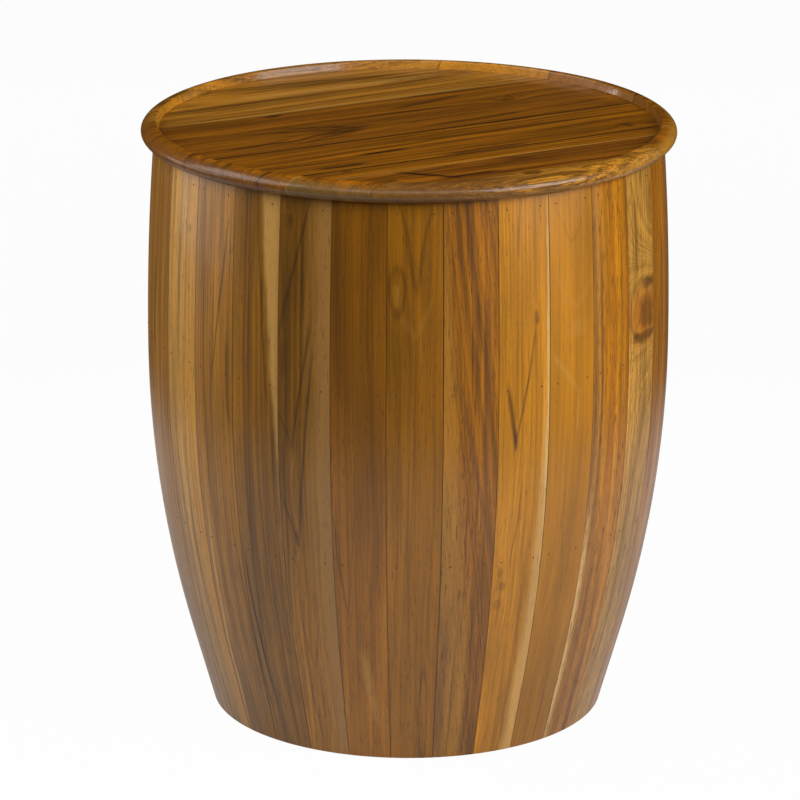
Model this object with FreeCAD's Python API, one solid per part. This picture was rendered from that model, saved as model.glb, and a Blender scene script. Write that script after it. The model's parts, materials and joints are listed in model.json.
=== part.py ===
import FreeCAD, Part
import math
import os

os.makedirs("parts", exist_ok=True)

# Drum side table built like a stave barrel: thirty curved staves glued edge to edge and pinned to
# three plywood hoops, closed by a round tray top turned from edge-glued boards.
# Millimetres. The floor is Z = 0, the table's axis is the Z axis and +Z is up.
# Angles round the table are counted from the front (-Y), positive towards the right (+X).

# Overall sizes
table_height = 511.0
rim_diameter = 450.0
rim_overhang = 10.5        # how far the rim stands out past the stave tops
belly_standout = 6.5       # how far the belly stands out past the stave tops
foot_inset = 53.5          # how far the foot is drawn in from the belly
belly_height = 320.0       # from the staves' feet up to their widest point
straight_height = 66.0     # from the staves' feet up to where they start to curve

# Staves
stave_count = 30
stave_thickness = 18.0
stave_arris = 0.4          # eased long edges on the outer face
first_seam_angle = -4.55   # the seam just left of the front

# Tray top
top_thickness = 17.0
tray_depth = 7.0
tray_wall_lean = 1.6       # how far the tray wall leans outwards over its height
inner_arris = 2.0          # rounding of the rim's inner edge
rim_flat = 0.3             # flat between that rounding and the rounded outside
nose_radius = 6.0          # middle of the rim's rounded outside
nose_blend_radius = 13.0   # blend from the nose to the flats above and below
board_angle = 30.0         # the boards run from front left to back right
board_widths = (57.0, 80.0, 110.0, 82.0, 23.0, 51.0, 47.0)  # from the back edge to the front one,
                           # before they are fitted together to the rim's width

# Hoops inside the drum
hoop_thickness = 18.0
hoop_width = 34.0
middle_hoop_height = 335.0
lower_hoop_height = 185.0

# Brads, two through each stave into each hoop
brad_diameter = 1.6
brad_sink = 0.7
brad_bite = 12.0
brad_edge = 7.6            # from the seams, measured on the outer face
brad_clearance = 0.05

# Battens under the top
batten_width = 40.0
batten_thickness = 18.0
batten_offset = 78.0
batten_end_clearance = 4.0
batten_screw_end = 14.0
batten_screw_room = 16.0   # least width of board over a batten that gets a screw

# Countersunk wood screws
screw_head_diameter = 8.0
screw_head_height = 2.6
screw_shank_diameter = 3.8
screw_cover = 3.0          # wood left between a screw's tip and the tray floor
screw_tip = 2.0
screw_clearance = 0.06
top_screw_count = 8
top_screw_inset = 10.0     # from the upper hoop's bore
top_screw_phase = 22.5

# Push-in floor glides in the ends of some staves
glide_count = 6
first_glide_index = 2
glide_stand = 1.0
glide_head_diameter = 14.0
glide_head_round = 0.5
glide_plug_diameter = 8.0
glide_plug_length = 12.0
glide_clearance = 0.05

# Values that follow from the sizes above
rim_radius = rim_diameter / 2
crown_radius = rim_radius - rim_overhang
belly_radius = crown_radius + belly_standout
foot_radius = belly_radius - foot_inset
foot_z = glide_stand
top_under_z = table_height - top_thickness
belly_z = foot_z + belly_height
curve_rise = belly_height - straight_height
stave_angle = 360.0 / stave_count
tray_floor_z = table_height - tray_depth
screw_bite = top_thickness - tray_depth - screw_cover

# The lower curve is tangent to the straight foot and upright at the belly, which fixes its slope.
half_slope = 0.1
for _ in range(30):
    half_slope = foot_inset / (curve_rise + 2 * straight_height / (1 - half_slope ** 2))
foot_slope = 2 * math.atan(half_slope)
lower_curve = curve_rise / math.sin(foot_slope)
upper_rise = top_under_z - belly_z
upper_curve = (upper_rise ** 2 + belly_standout ** 2) / (2 * belly_standout)


def point(radius, height):
    """A point of an outline, drawn in the XZ plane."""
    return FreeCAD.Vector(radius, 0, height)


def line(start, end):
    """A straight edge between two (radius, height) pairs."""
    return Part.LineSegment(point(*start), point(*end)).toShape()


def arc(centre, radius, from_angle, to_angle):
    """A round edge, with its angles in radians from the +radius direction."""
    spots = []
    for share in (0.0, 0.5, 1.0):
        angle = from_angle + share * (to_angle - from_angle)
        spots.append(point(centre[0] + radius * math.cos(angle), centre[1] + radius * math.sin(angle)))
    return Part.Arc(*spots).toShape()


def outline_face(edges):
    """A flat face inside a closed run of edges."""
    return Part.Face(Part.Wire(Part.__sortEdges__(edges)))


def turned(edges, degrees=360.0):
    """A solid turned about the table's axis from a closed outline."""
    return outline_face(edges).revolve(FreeCAD.Vector(0, 0, 0), FreeCAD.Vector(0, 0, 1), degrees)


def around(shape, angle):
    """A copy turned about the table's axis from the +X side to an angle counted from the front."""
    copy = shape.copy()
    copy.rotate(FreeCAD.Vector(0, 0, 0), FreeCAD.Vector(0, 0, 1), angle - 90.0)
    return copy


def wall_radius(height, inset):
    """The radius of the stave wall at a height, a given depth below its outer face."""
    if height <= foot_z + straight_height + inset * math.sin(foot_slope):
        return foot_radius - inset / math.cos(foot_slope) + (height - foot_z) * math.tan(foot_slope)
    curve = lower_curve if height <= belly_z else upper_curve
    return belly_radius - curve + math.sqrt((curve - inset) ** 2 - (height - belly_z) ** 2)


def wall_edges(inset):
    """The stave wall's run of edges from foot to top, a given depth below its outer face."""
    knee = (foot_radius + straight_height * math.tan(foot_slope) - inset * math.cos(foot_slope),
            foot_z + straight_height + inset * math.sin(foot_slope))
    foot = (wall_radius(foot_z, inset), foot_z)
    lower_centre = (belly_radius - lower_curve, belly_z)
    upper_centre = (belly_radius - upper_curve, belly_z)
    top_turn = math.asin(upper_rise / (upper_curve - inset))
    return [line(foot, knee),
            arc(lower_centre, lower_curve - inset, -foot_slope, 0.0),
            arc(upper_centre, upper_curve - inset, 0.0, top_turn)]


def save(name, solids):
    """Write one node, a single solid or a group of separate solids."""
    shape = solids[0] if len(solids) == 1 else Part.makeCompound(solids)
    shape.exportStep("parts/" + name + ".step")


# Hoops by the height of their middles; the upper one sits right under the top
hoop_heights = {
    "upper": top_under_z - hoop_thickness / 2,
    "middle": middle_hoop_height,
    "lower": lower_hoop_height,
}


def hoop_bore(middle):
    """The bore radius of a hoop whose width is measured at its narrower face."""
    low = wall_radius(middle - hoop_thickness / 2, stave_thickness)
    high = wall_radius(middle + hoop_thickness / 2, stave_thickness)
    return min(low, high) - hoop_width


def hoop_solid(middle):
    """A plywood ring whose outer face leans with the stave wall."""
    low_z = middle - hoop_thickness / 2
    high_z = middle + hoop_thickness / 2
    bore = hoop_bore(middle)
    low = (wall_radius(low_z, stave_thickness), low_z)
    high = (wall_radius(high_z, stave_thickness), high_z)
    return turned([line((bore, low_z), low), line(low, high),
                   line(high, (bore, high_z)), line((bore, high_z), (bore, low_z))])


# Brads and their holes, drawn for the +X side and turned to each stave
def brad(middle, side, clearance):
    """A brad driven level near one side of a stave, or its hole when a clearance is given."""
    face = wall_radius(middle, 0.0)
    head = face - brad_sink if clearance == 0 else face + stave_thickness
    tip = wall_radius(middle, stave_thickness) - brad_bite - clearance
    pin = Part.makeCylinder(brad_diameter / 2 + clearance, head - tip, point(tip, middle),
                            FreeCAD.Vector(1, 0, 0))
    turn = stave_angle / 2 - math.degrees(brad_edge / face)
    pin.rotate(FreeCAD.Vector(0, 0, 0), FreeCAD.Vector(0, 0, 1), side * turn)
    return pin


stave_centres = [first_seam_angle + stave_angle * (index + 0.5) for index in range(stave_count)]


# Screws and their holes, drawn upright on the Z axis with the head's face at height zero
def screw(thickness, clearance):
    """A countersunk screw, or its hole when a clearance is given."""
    head = screw_head_diameter / 2 + clearance
    shank = screw_shank_diameter / 2 + clearance
    neck = screw_head_height + clearance
    end = thickness + screw_bite + clearance
    corners = [(0, 0), (head, 0), (shank, neck), (shank, end - screw_tip), (0, end)]
    edges = [line(corners[index - 1], corners[index]) for index in range(len(corners))]
    return turned(edges)


def placed(shape, x, y, z):
    """A copy of a shape moved to a place."""
    copy = shape.copy()
    copy.translate(FreeCAD.Vector(x, y, z))
    return copy


def across_boards(along, across):
    """The X and Y of a place given along and across the boards."""
    turn = math.radians(board_angle)
    return (along * math.cos(turn) - across * math.sin(turn),
            along * math.sin(turn) + across * math.cos(turn))


# Floor glide: a domed head under the stave end with a plug pushed up into the wood
glide_radius = (wall_radius(foot_z, 0.0) + wall_radius(foot_z, stave_thickness)) / 2
glide_staves = [(first_glide_index + index * stave_count // glide_count) % stave_count
                for index in range(glide_count)]
head_side = glide_head_diameter / 2
head_round = min(glide_head_round, glide_stand / 2)
glide_corners = [(0, 0), (head_side - head_round, 0), (head_side, head_round),
                 (head_side, glide_stand), (glide_plug_diameter / 2, glide_stand),
                 (glide_plug_diameter / 2, glide_stand + glide_plug_length),
                 (0, glide_stand + glide_plug_length)]
glide = placed(turned([line(glide_corners[index - 1], glide_corners[index])
                       for index in range(len(glide_corners))]), glide_radius, 0, 0)
glide_hole = Part.makeCylinder(glide_plug_diameter / 2 + glide_clearance,
                               glide_plug_length + glide_clearance, point(glide_radius, foot_z))

# Staves: one curved wedge with its brad holes, and the same with a glide hole in its foot
inner_foot = (wall_radius(foot_z, stave_thickness), foot_z)
outer_foot = (wall_radius(foot_z, 0.0), foot_z)
inner_top = (wall_radius(top_under_z, stave_thickness), top_under_z)
outer_top = (wall_radius(top_under_z, 0.0), top_under_z)
wedge = turned(wall_edges(0.0) + wall_edges(stave_thickness)
               + [line(inner_foot, outer_foot), line(inner_top, outer_top)], stave_angle)
wedge.rotate(FreeCAD.Vector(0, 0, 0), FreeCAD.Vector(0, 0, 1), -stave_angle / 2)


def is_outer_arris(edge):
    """True for an edge that runs up a stave's outer face along one of its seams."""
    ends = [vertex.Point for vertex in edge.Vertexes]
    middle = (ends[0] + ends[-1]) / 2
    runs_up = abs(ends[0].z - ends[-1].z) > stave_thickness
    return runs_up and math.hypot(middle.x, middle.y) > wall_radius(middle.z, stave_thickness / 2)


wedge = wedge.makeChamfer(stave_arris, [edge for edge in wedge.Edges if is_outer_arris(edge)])
brad_holes = [brad(middle, side, brad_clearance)
              for middle in hoop_heights.values() for side in (-1, 1)]
plain_stave = wedge.cut(Part.makeCompound(brad_holes)).Solids[0]
glide_stave = plain_stave.cut(glide_hole).Solids[0]
for index, centre in enumerate(stave_centres):
    stave = glide_stave if index in glide_staves else plain_stave
    save("stave_%02d" % (index + 1), [around(stave, centre)])
for number, index in enumerate(glide_staves):
    save("floor_glide_%d" % (number + 1), [around(glide, stave_centres[index])])

# Hoops and the brads that pin the staves to them
top_screw_radius = hoop_bore(hoop_heights["upper"]) + top_screw_inset
top_screw_spots = []
for index in range(top_screw_count):
    turn = math.radians(top_screw_phase + 360.0 / top_screw_count * index)
    spot = across_boards(top_screw_radius * math.sin(turn), -top_screw_radius * math.cos(turn))
    top_screw_spots.append(spot)
top_screw_z = top_under_z - hoop_thickness
top_screw_holes = [placed(screw(hoop_thickness, screw_clearance), x, y, top_screw_z)
                   for x, y in top_screw_spots]
for name, middle in hoop_heights.items():
    holes = [around(brad(middle, side, brad_clearance), centre)
             for centre in stave_centres for side in (-1, 1)]
    if name == "upper":
        holes = holes + top_screw_holes
    save(name + "_hoop", [hoop_solid(middle).cut(Part.makeCompound(holes)).Solids[0]])
    save(name + "_brads", [around(brad(middle, side, 0), centre)
                           for centre in stave_centres for side in (-1, 1)])
save("top_screws", [placed(screw(hoop_thickness, 0), x, y, top_screw_z) for x, y in top_screw_spots])

# Battens under the top, square to the boards and clear of the upper hoop
batten_reach = hoop_bore(hoop_heights["upper"]) - batten_end_clearance
batten_half = math.sqrt(batten_reach ** 2 - (batten_offset + batten_width / 2) ** 2)
board_fit = rim_diameter / sum(board_widths)
board_seams = [rim_radius - board_fit * sum(board_widths[:count]) for count in range(1, len(board_widths))]
board_edges = [rim_diameter] + board_seams + [-rim_diameter]
board_limits = list(zip(board_edges[:-1], board_edges[1:]))
batten_screw_z = top_under_z - batten_thickness
batten_screw_places = []
for far, near in board_limits:
    high = min(far, batten_half - batten_screw_end)
    low = max(near, -batten_half + batten_screw_end)
    if high - low > batten_screw_room:
        batten_screw_places.append((high + low) / 2)
batten_screw_spots = []
for number, along in enumerate((-batten_offset, batten_offset)):
    batten = Part.makeBox(batten_width, 2 * batten_half, batten_thickness,
                          FreeCAD.Vector(along - batten_width / 2, -batten_half, batten_screw_z))
    batten.rotate(FreeCAD.Vector(0, 0, 0), FreeCAD.Vector(0, 0, 1), board_angle)
    spots = [across_boards(along, across) for across in batten_screw_places]
    holes = [placed(screw(batten_thickness, screw_clearance), x, y, batten_screw_z) for x, y in spots]
    save("top_batten_%d" % (number + 1), [batten.cut(Part.makeCompound(holes)).Solids[0]])
    batten_screw_spots.extend(spots)
batten_screw_holes = [placed(screw(batten_thickness, screw_clearance), x, y, batten_screw_z)
                      for x, y in batten_screw_spots]
save("batten_screws", [placed(screw(batten_thickness, 0), x, y, batten_screw_z)
                       for x, y in batten_screw_spots])

# Tray top: turned in one go after the boards are glued up, so each board keeps its share of the rim
nose_z = table_height - top_thickness / 2
nose_r = rim_radius - nose_radius
blend_rise = top_thickness / 2 - nose_blend_radius
blend_run = math.sqrt((nose_blend_radius - nose_radius) ** 2 - blend_rise ** 2)
blend_r = nose_r - blend_run
nose_turn = math.atan2(-blend_rise, blend_run)
wall_angle = math.atan2(tray_depth, tray_wall_lean)
arris_reach = inner_arris * math.tan(wall_angle / 2)
arris_r = blend_r - rim_flat
tray_top_r = arris_r - arris_reach
tray_wall_r = tray_top_r - tray_wall_lean
arris_start = (tray_top_r - arris_reach * math.cos(wall_angle),
               table_height - arris_reach * math.sin(wall_angle))
tray = turned([
    line((0, top_under_z), (blend_r, top_under_z)),
    arc((blend_r, nose_z - blend_rise), nose_blend_radius, -math.pi / 2, -nose_turn),
    arc((nose_r, nose_z), nose_radius, -nose_turn, nose_turn),
    arc((blend_r, nose_z + blend_rise), nose_blend_radius, nose_turn, math.pi / 2),
    line((blend_r, table_height), (arris_r, table_height)),
    arc((arris_r, table_height - inner_arris), inner_arris, math.pi / 2, math.pi / 2 + wall_angle),
    line(arris_start, (tray_wall_r, tray_floor_z)),
    line((tray_wall_r, tray_floor_z), (0, tray_floor_z)),
    line((0, tray_floor_z), (0, top_under_z)),
])
tray = tray.cut(Part.makeCompound(top_screw_holes + batten_screw_holes))
for number, (far, near) in enumerate(board_limits):
    slab = Part.makeBox(2 * rim_diameter, far - near, 2 * top_thickness,
                        FreeCAD.Vector(-rim_diameter, near, top_under_z - top_thickness / 2))
    slab.rotate(FreeCAD.Vector(0, 0, 0), FreeCAD.Vector(0, 0, 1), board_angle)
    save("top_board_%d" % (number + 1), [tray.common(slab).Solids[0]])
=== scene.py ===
"""Looks of the drum side table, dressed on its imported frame.

Thirty bent staves stand round a tray of seven boards. Brads hold the staves to hoops inside the drum,
and battens, screws and glides finish it where nobody looks. Metres, Z up, the front towards -Y, the floor
at z = 0.
"""

from __future__ import annotations

import json
import logging
import math
import random
from dataclasses import dataclass, field
from enum import Enum
from typing import Any

import bmesh
import bpy
from mathutils import Matrix, Vector

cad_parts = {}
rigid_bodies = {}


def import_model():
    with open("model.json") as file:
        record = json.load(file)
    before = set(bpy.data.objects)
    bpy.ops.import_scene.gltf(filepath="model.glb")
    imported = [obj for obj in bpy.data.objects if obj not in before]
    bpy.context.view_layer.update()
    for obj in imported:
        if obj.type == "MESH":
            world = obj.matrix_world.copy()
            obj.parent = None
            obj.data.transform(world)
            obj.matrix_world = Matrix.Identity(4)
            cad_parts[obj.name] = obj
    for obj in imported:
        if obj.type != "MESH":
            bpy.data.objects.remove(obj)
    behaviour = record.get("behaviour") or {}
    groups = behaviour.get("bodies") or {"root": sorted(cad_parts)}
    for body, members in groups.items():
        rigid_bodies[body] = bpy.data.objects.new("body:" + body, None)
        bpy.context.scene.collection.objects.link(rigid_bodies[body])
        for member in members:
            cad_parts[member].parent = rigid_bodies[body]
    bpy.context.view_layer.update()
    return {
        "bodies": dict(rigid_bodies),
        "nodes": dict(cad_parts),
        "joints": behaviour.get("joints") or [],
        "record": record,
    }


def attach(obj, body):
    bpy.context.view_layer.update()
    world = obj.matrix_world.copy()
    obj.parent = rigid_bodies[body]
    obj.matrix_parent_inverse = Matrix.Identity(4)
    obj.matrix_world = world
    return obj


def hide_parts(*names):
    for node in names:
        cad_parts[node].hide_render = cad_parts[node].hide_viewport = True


log = logging.getLogger("drum_table")

Colour = tuple[float, float, float]
Mesh = bmesh.types.BMesh
Edge = bmesh.types.BMEdge
Vert = bmesh.types.BMVert
Material = bpy.types.Material

MILLIMETRES = 1000.0
ORIGIN = (0.0, 0.0, 0.0)
UPRIGHT = (0.0, 0.0, 1.0)
WELD = 1e-6
SHARP_ANGLE = math.radians(32.0)
CORNER_ANGLE = math.radians(50.0)
STAVE_SEED = 31.7
BACK_SEED = 700
BOARD_SEED = 500.0
BOARD_SEED_STEP = 23.3
BATTEN_SEED = 900.0
BATTEN_SEED_STEP = 41.0


class Signal:
    """One output socket of a node tree; operators on it add Math nodes."""

    def __init__(self, sheet: Sheet, socket: bpy.types.NodeSocket) -> None:
        """Keeps the socket and the sheet that it belongs to."""
        self.sheet = sheet
        self.socket = socket

    def out(self, name: str) -> Signal:
        """Another output of the same node."""
        return Signal(self.sheet, self.socket.node.outputs[name])

    def __add__(self, other: Any) -> Signal:
        """The sum."""
        return self.sheet.math("ADD", self, other)

    def __radd__(self, other: Any) -> Signal:
        """The sum, with the number first."""
        return self.sheet.math("ADD", other, self)

    def __sub__(self, other: Any) -> Signal:
        """The difference."""
        return self.sheet.math("SUBTRACT", self, other)

    def __rsub__(self, other: Any) -> Signal:
        """The difference, with the number first."""
        return self.sheet.math("SUBTRACT", other, self)

    def __mul__(self, other: Any) -> Signal:
        """The product."""
        return self.sheet.math("MULTIPLY", self, other)

    def __rmul__(self, other: Any) -> Signal:
        """The product, with the number first."""
        return self.sheet.math("MULTIPLY", other, self)

    def __truediv__(self, other: Any) -> Signal:
        """The quotient."""
        return self.sheet.math("DIVIDE", self, other)

    def __rtruediv__(self, other: Any) -> Signal:
        """The quotient, with the number first."""
        return self.sheet.math("DIVIDE", other, self)

    def __pow__(self, other: Any) -> Signal:
        """The power."""
        return self.sheet.math("POWER", self, other)

    def __abs__(self) -> Signal:
        """The size without its sign."""
        return self.sheet.math("ABSOLUTE", self)


class Sheet:
    """The node tree of one finish, written as Python expressions."""

    def __init__(self, name: str, world: bool = False) -> None:
        """Starts an empty tree.

        Args:
            name: the finish's name.
            world: whether the tree is the world's and not a material's.
        """
        self.end = "ShaderNodeOutputWorld" if world else "ShaderNodeOutputMaterial"
        self.block = bpy.data.worlds.new(name) if world else bpy.data.materials.new(name)
        self.block.use_nodes = True
        self.tree = self.block.node_tree
        self.tree.nodes.clear()

    def node(self, kind: str, settings: dict | None = None, inputs: dict | None = None,
             output: str | int = 0) -> Signal:
        """Adds one node and gives back one of its outputs; the rest is as in add."""
        return Signal(self, self.add(kind, settings, inputs).outputs[output])

    def add(self, kind: str, settings: dict | None = None, inputs: dict | None = None) -> bpy.types.Node:
        """Adds one node.

        Args:
            kind: the node's type.
            settings: its properties, which are set first.
            inputs: values or links by the socket's name or number.

        Returns:
            The node.
        """
        made = self.tree.nodes.new(kind)
        for key, value in (settings or {}).items():
            setattr(made, key, value)
        for key, value in (inputs or {}).items():
            if isinstance(value, Signal):
                self.tree.links.new(value.socket, made.inputs[key])
            else:
                made.inputs[key].default_value = value
        return made

    def math(self, operation: str, *terms: Any) -> Signal:
        """Adds a Math node on up to three terms."""
        return self.node("ShaderNodeMath", {"operation": operation}, dict(enumerate(terms)))

    def root(self, term: Signal) -> Signal:
        """The square root."""
        return self.math("SQRT", term)

    def fraction(self, term: Signal) -> Signal:
        """The part after the point."""
        return self.math("FRACT", term)

    def limit(self, term: Signal) -> Signal:
        """The term held between 0 and 1."""
        return self.math("MINIMUM", self.math("MAXIMUM", term, 0.0), 1.0)

    def step(self, term: Signal, start: Any, end: Any) -> Signal:
        """A soft step.

        Args:
            term: what is tested.
            start: where the step is still 0.
            end: where it reaches 1; it may lie below start.

        Returns:
            A value from 0 to 1.
        """
        inputs = {"Value": term, "From Min": start, "From Max": end}
        return self.node("ShaderNodeMapRange", {"interpolation_type": "SMOOTHSTEP"}, inputs)

    def place(self) -> Signal:
        """A point's place in the table's frame, as a vector in millimetres."""
        world = self.node("ShaderNodeTexCoord", None, None, "Object")
        return self.node("ShaderNodeVectorMath", {"operation": "SCALE"}, {0: world, "Scale": MILLIMETRES})

    def dot(self, first: Any, second: Any) -> Signal:
        """The dot product of two vectors."""
        inputs = {0: first, 1: second}
        return self.node("ShaderNodeVectorMath", {"operation": "DOT_PRODUCT"}, inputs, "Value")

    def noise(self, place: Signal, sizes: Colour, shift: float, detail: float = 2.0) -> Signal:
        """Soft noise in stretched space.

        Args:
            place: a vector in millimetres.
            sizes: how long the noise's blots are along each axis, in millimetres.
            shift: moves to another part of the noise.
            detail: how many finer layers it has.

        Returns:
            A value about a half.
        """
        scale = tuple(1.0 / size for size in sizes)
        moved = self.node("ShaderNodeVectorMath", {"operation": "MULTIPLY_ADD"},
                          {0: place, 1: scale, 2: (shift, 1.7 * shift, 0.6 * shift)})
        return self.node("ShaderNodeTexNoise", {"noise_dimensions": "3D"},
                         {"Vector": moved, "Scale": 1.0, "Detail": detail, "Roughness": 0.55})

    def mix(self, factor: Any, first: Any, second: Any, blend: str = "MIX") -> Signal:
        """Blends two colours.

        Args:
            factor: how much of the second.
            first: a colour or a link.
            second: a colour or a link.
            blend: the blend mode.

        Returns:
            The mixed colour.
        """
        pair = [(*side, 1.0) if isinstance(side, tuple) else side for side in (first, second)]
        settings = {"data_type": "RGBA", "blend_type": blend}
        return self.node("ShaderNodeMix", settings, {0: factor, 6: pair[0], 7: pair[1]}, 2)

    def bump(self, height: Signal, strength: float, distance: float) -> Signal:
        """Turns a height into a normal.

        Args:
            height: from 0 to 1.
            strength: how much of it counts.
            distance: metres for a height of 1.

        Returns:
            The normal.
        """
        inputs = {"Height": height, "Strength": strength, "Distance": distance}
        return self.node("ShaderNodeBump", None, inputs)

    def surface(self, constants: dict, **links: Any) -> Material:
        """Ends the finish with its shader.

        Args:
            constants: the shader's sockets that stay the same all over.
            links: base, roughness and normal.

        Returns:
            The material.
        """
        sockets = {"base": "Base Color", "roughness": "Roughness", "normal": "Normal"}
        inputs = {**constants, **{sockets[key]: value for key, value in links.items()}}
        self.close(self.node("ShaderNodeBsdfPrincipled", None, inputs))
        return self.block

    def close(self, shader: Signal) -> None:
        """Sends a shader to the tree's output."""
        self.add(self.end, None, {"Surface": shader})


class Shade(Enum):
    """Colours that a mark in the wood can have, linear; the boards' end grain also takes them, as painted
    light on the right ends and the inner wall.
    """

    DARK = (0.055, 0.020, 0.0015)
    BLACK = (0.010, 0.005, 0.002)
    AMBER = (0.42, 0.13, 0.004)
    PALE = (0.55, 0.30, 0.075)
    SAP = (0.62, 0.40, 0.15)
    GREY = (0.125, 0.080, 0.025)
    SAND = (0.165, 0.078, 0.014)
    RUST = (0.30, 0.120, 0.018)
    TAWNY = (0.31, 0.155, 0.042)
    MAHOGANY = (0.175, 0.066, 0.010)
    GOLD = (0.40, 0.190, 0.025)
    HONEY = (0.50, 0.210, 0.016)
    PLUM = (0.115, 0.045, 0.012)


class Tone(Enum):
    """The mean colours of the boards and staves, linear."""

    GOLDEN = (0.40, 0.155, 0.004)
    PALE = (0.42, 0.20, 0.030)
    BROWN = (0.17, 0.068, 0.0030)
    REDDISH = (0.225, 0.078, 0.003)
    TAN = (0.21, 0.088, 0.008)


@dataclass
class Grain:
    """Where a point lies in its plank, in millimetres, and how the grain sways there."""

    sheet: Sheet
    along: Signal
    across: Signal
    edge: Signal
    ripple: Signal
    streak: Signal


@dataclass(frozen=True)
class Vein:
    """A streak that runs with the grain."""

    across: float
    along: float
    length: float
    width: float
    strength: float = 0.6
    slope: float = 0.0
    wave: float = 4.0
    shade: Shade = Shade.DARK

    def mask(self, grain: Grain) -> Signal:
        """How much of the streak is at a point.

        Args:
            grain: where the point lies in its plank.

        Returns:
            A value from 0 to 1.
        """
        sheet = grain.sheet
        reach = grain.along - self.along
        offset = grain.across - self.across - reach * self.slope + grain.ripple * self.wave
        side = sheet.step(abs(offset), self.width, 0.0)
        end = sheet.step(abs(reach), 0.5 * self.length, 0.2 * self.length)
        return sheet.limit(side * end * (grain.streak + 0.5)) * self.strength


@dataclass(frozen=True)
class Chevron:
    """A ring cut across by the face: a V or U that opens upwards from its tip where steep is positive."""

    across: float
    along: float
    steep: float
    reach: float
    width: float
    strength: float = 0.5
    power: float = 1.4
    shade: Shade = Shade.DARK
    wave: float = 36.0

    def mask(self, grain: Grain) -> Signal:
        """How much of the line is at a point.

        Args:
            grain: where the point lies in its plank.

        Returns:
            A value from 0 to 1.
        """
        sheet = grain.sheet
        side = abs(grain.across - self.across)
        line = grain.along - self.along - side ** self.power * self.steep + grain.ripple * self.wave
        thick = sheet.step(abs(line), self.width, 0.0)
        end = sheet.step(side, self.reach, 0.5 * self.reach)
        return sheet.limit(thick * end * (grain.streak * 2.4 - 0.4)) * self.strength


@dataclass(frozen=True)
class Knot:
    """A knot: a dark heart, with the rings pushed out round it."""

    across: float
    along: float
    wide: float
    tall: float
    strength: float = 0.8
    shade: Shade = Shade.DARK

    def spread(self, grain: Grain) -> Signal:
        """The squared distance from the heart, in knot sizes.

        Args:
            grain: where the point lies in its plank.

        Returns:
            The squared distance.
        """
        side = (grain.across - self.across) / self.wide
        up = (grain.along - self.along) / self.tall
        return side * side + up * up

    def mask(self, grain: Grain) -> Signal:
        """How much of the dark heart is at a point."""
        far = self.spread(grain) + grain.ripple * 2.4
        return grain.sheet.step(far, 1.2, 0.0) * (grain.streak * 0.6 + 0.6) * self.strength

    def push(self, grain: Grain) -> Signal:
        """How far the rings move aside, in millimetres."""
        fall = self.spread(grain) * 0.4 + 1.0
        return 2.2 * self.wide / (fall * fall)


@dataclass(frozen=True)
class Eye:
    """The outline of a ring that the face cuts as a long lens."""

    across: float
    along: float
    wide: float
    tall: float
    strength: float = 0.6
    line: float = 0.35
    shade: Shade = Shade.DARK

    def mask(self, grain: Grain) -> Signal:
        """How much of the outline is at a point.

        Args:
            grain: where the point lies in its plank.

        Returns:
            A value from 0 to 1.
        """
        sheet = grain.sheet
        side = (grain.across - self.across + grain.ripple * (4.0 + 0.8 * self.wide)) / self.wide
        up = (grain.along - self.along) / self.tall
        far = sheet.root(side * side + up * up) - 1.0
        return sheet.step(abs(far), self.line, 0.0) * sheet.limit(grain.streak * 2.4 - 0.4) * self.strength


@dataclass(frozen=True)
class Sapwood:
    """A strip of paler wood along one edge."""

    edge: float
    strength: float = 0.6
    slope: float = 0.0
    side: float = 1.0
    soft: float = 3.0
    shade: Shade = Shade.SAP

    def mask(self, grain: Grain) -> Signal:
        """How much of the strip is at a point.

        Args:
            grain: where the point lies in its plank.

        Returns:
            A value from 0 to 1.
        """
        line = grain.along * self.slope + self.edge
        past = (grain.across - line + grain.ripple * 5.0) * self.side
        return grain.sheet.step(past, 0.0, self.soft) * self.strength


@dataclass(frozen=True)
class Joint:
    """A joint that has opened to a dark line along one edge, above a height."""

    side: float
    low: float
    width: float
    strength: float = 0.9
    shade: Shade = Shade.BLACK

    def mask(self, grain: Grain) -> Signal:
        """How much of the line is at a point.

        Args:
            grain: where the point lies in its plank.

        Returns:
            A value from 0 to 1.
        """
        sheet = grain.sheet
        near = sheet.step(grain.across * self.side, 0.0, 5.0)
        thick = sheet.step(grain.edge, self.width, 0.4 * self.width)
        up = sheet.step(grain.along, self.low, self.low + 50.0)
        return near * thick * up * self.strength


Mark = Vein | Chevron | Knot | Eye | Sapwood | Joint


@dataclass(frozen=True)
class Plank:
    """How one plank's wood looks: its tone, how it was cut from the log, and its marks, with painted shade
    and light at a stave's foot, on a board's right end and on the tray's inner wall.
    """

    tone: Tone
    value: float = 1.0
    heart_across: float = 30.0
    heart_depth: float = -60.0
    lean: float = 0.0
    tilt: float = 0.03
    ring: float = 3.2
    wander: float = 7.0
    contrast: float = 1.0
    threads: float = 0.6
    warmth: float = 1.0
    ends: float = 0.5
    end_shade: Shade = Shade.MAHOGANY
    # Painted light: the end grain on a board's right end takes this colour, lighter than its left end.
    right_end_painted_light: Shade = Shade.GOLD
    # Painted light: the tray's inner wall takes this colour in place of the darker top and nose.
    inner_wall_painted_light: Shade = Shade.MAHOGANY
    # foot: painted shade below 1 and painted light above 1 on a stave's lower part, full at the floor and
    # gone by 340 mm up
    foot: float = 1.0
    dip: float = 0.12
    flecks: float = 0.4
    marks: tuple[Mark, ...] = ()


@dataclass(frozen=True)
class Seat:
    """Where a plank sits: the turn and shift that lead to its own axes, and which of them is which."""

    turn: float
    shift: Colour
    along: str
    across: str
    depth: str
    half: float
    taper: float = 0.0
    end_grain: bool = False
    coat: float = 0.25
    coat_roughness: float = 0.11
    sheen: float = 0.45


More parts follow.
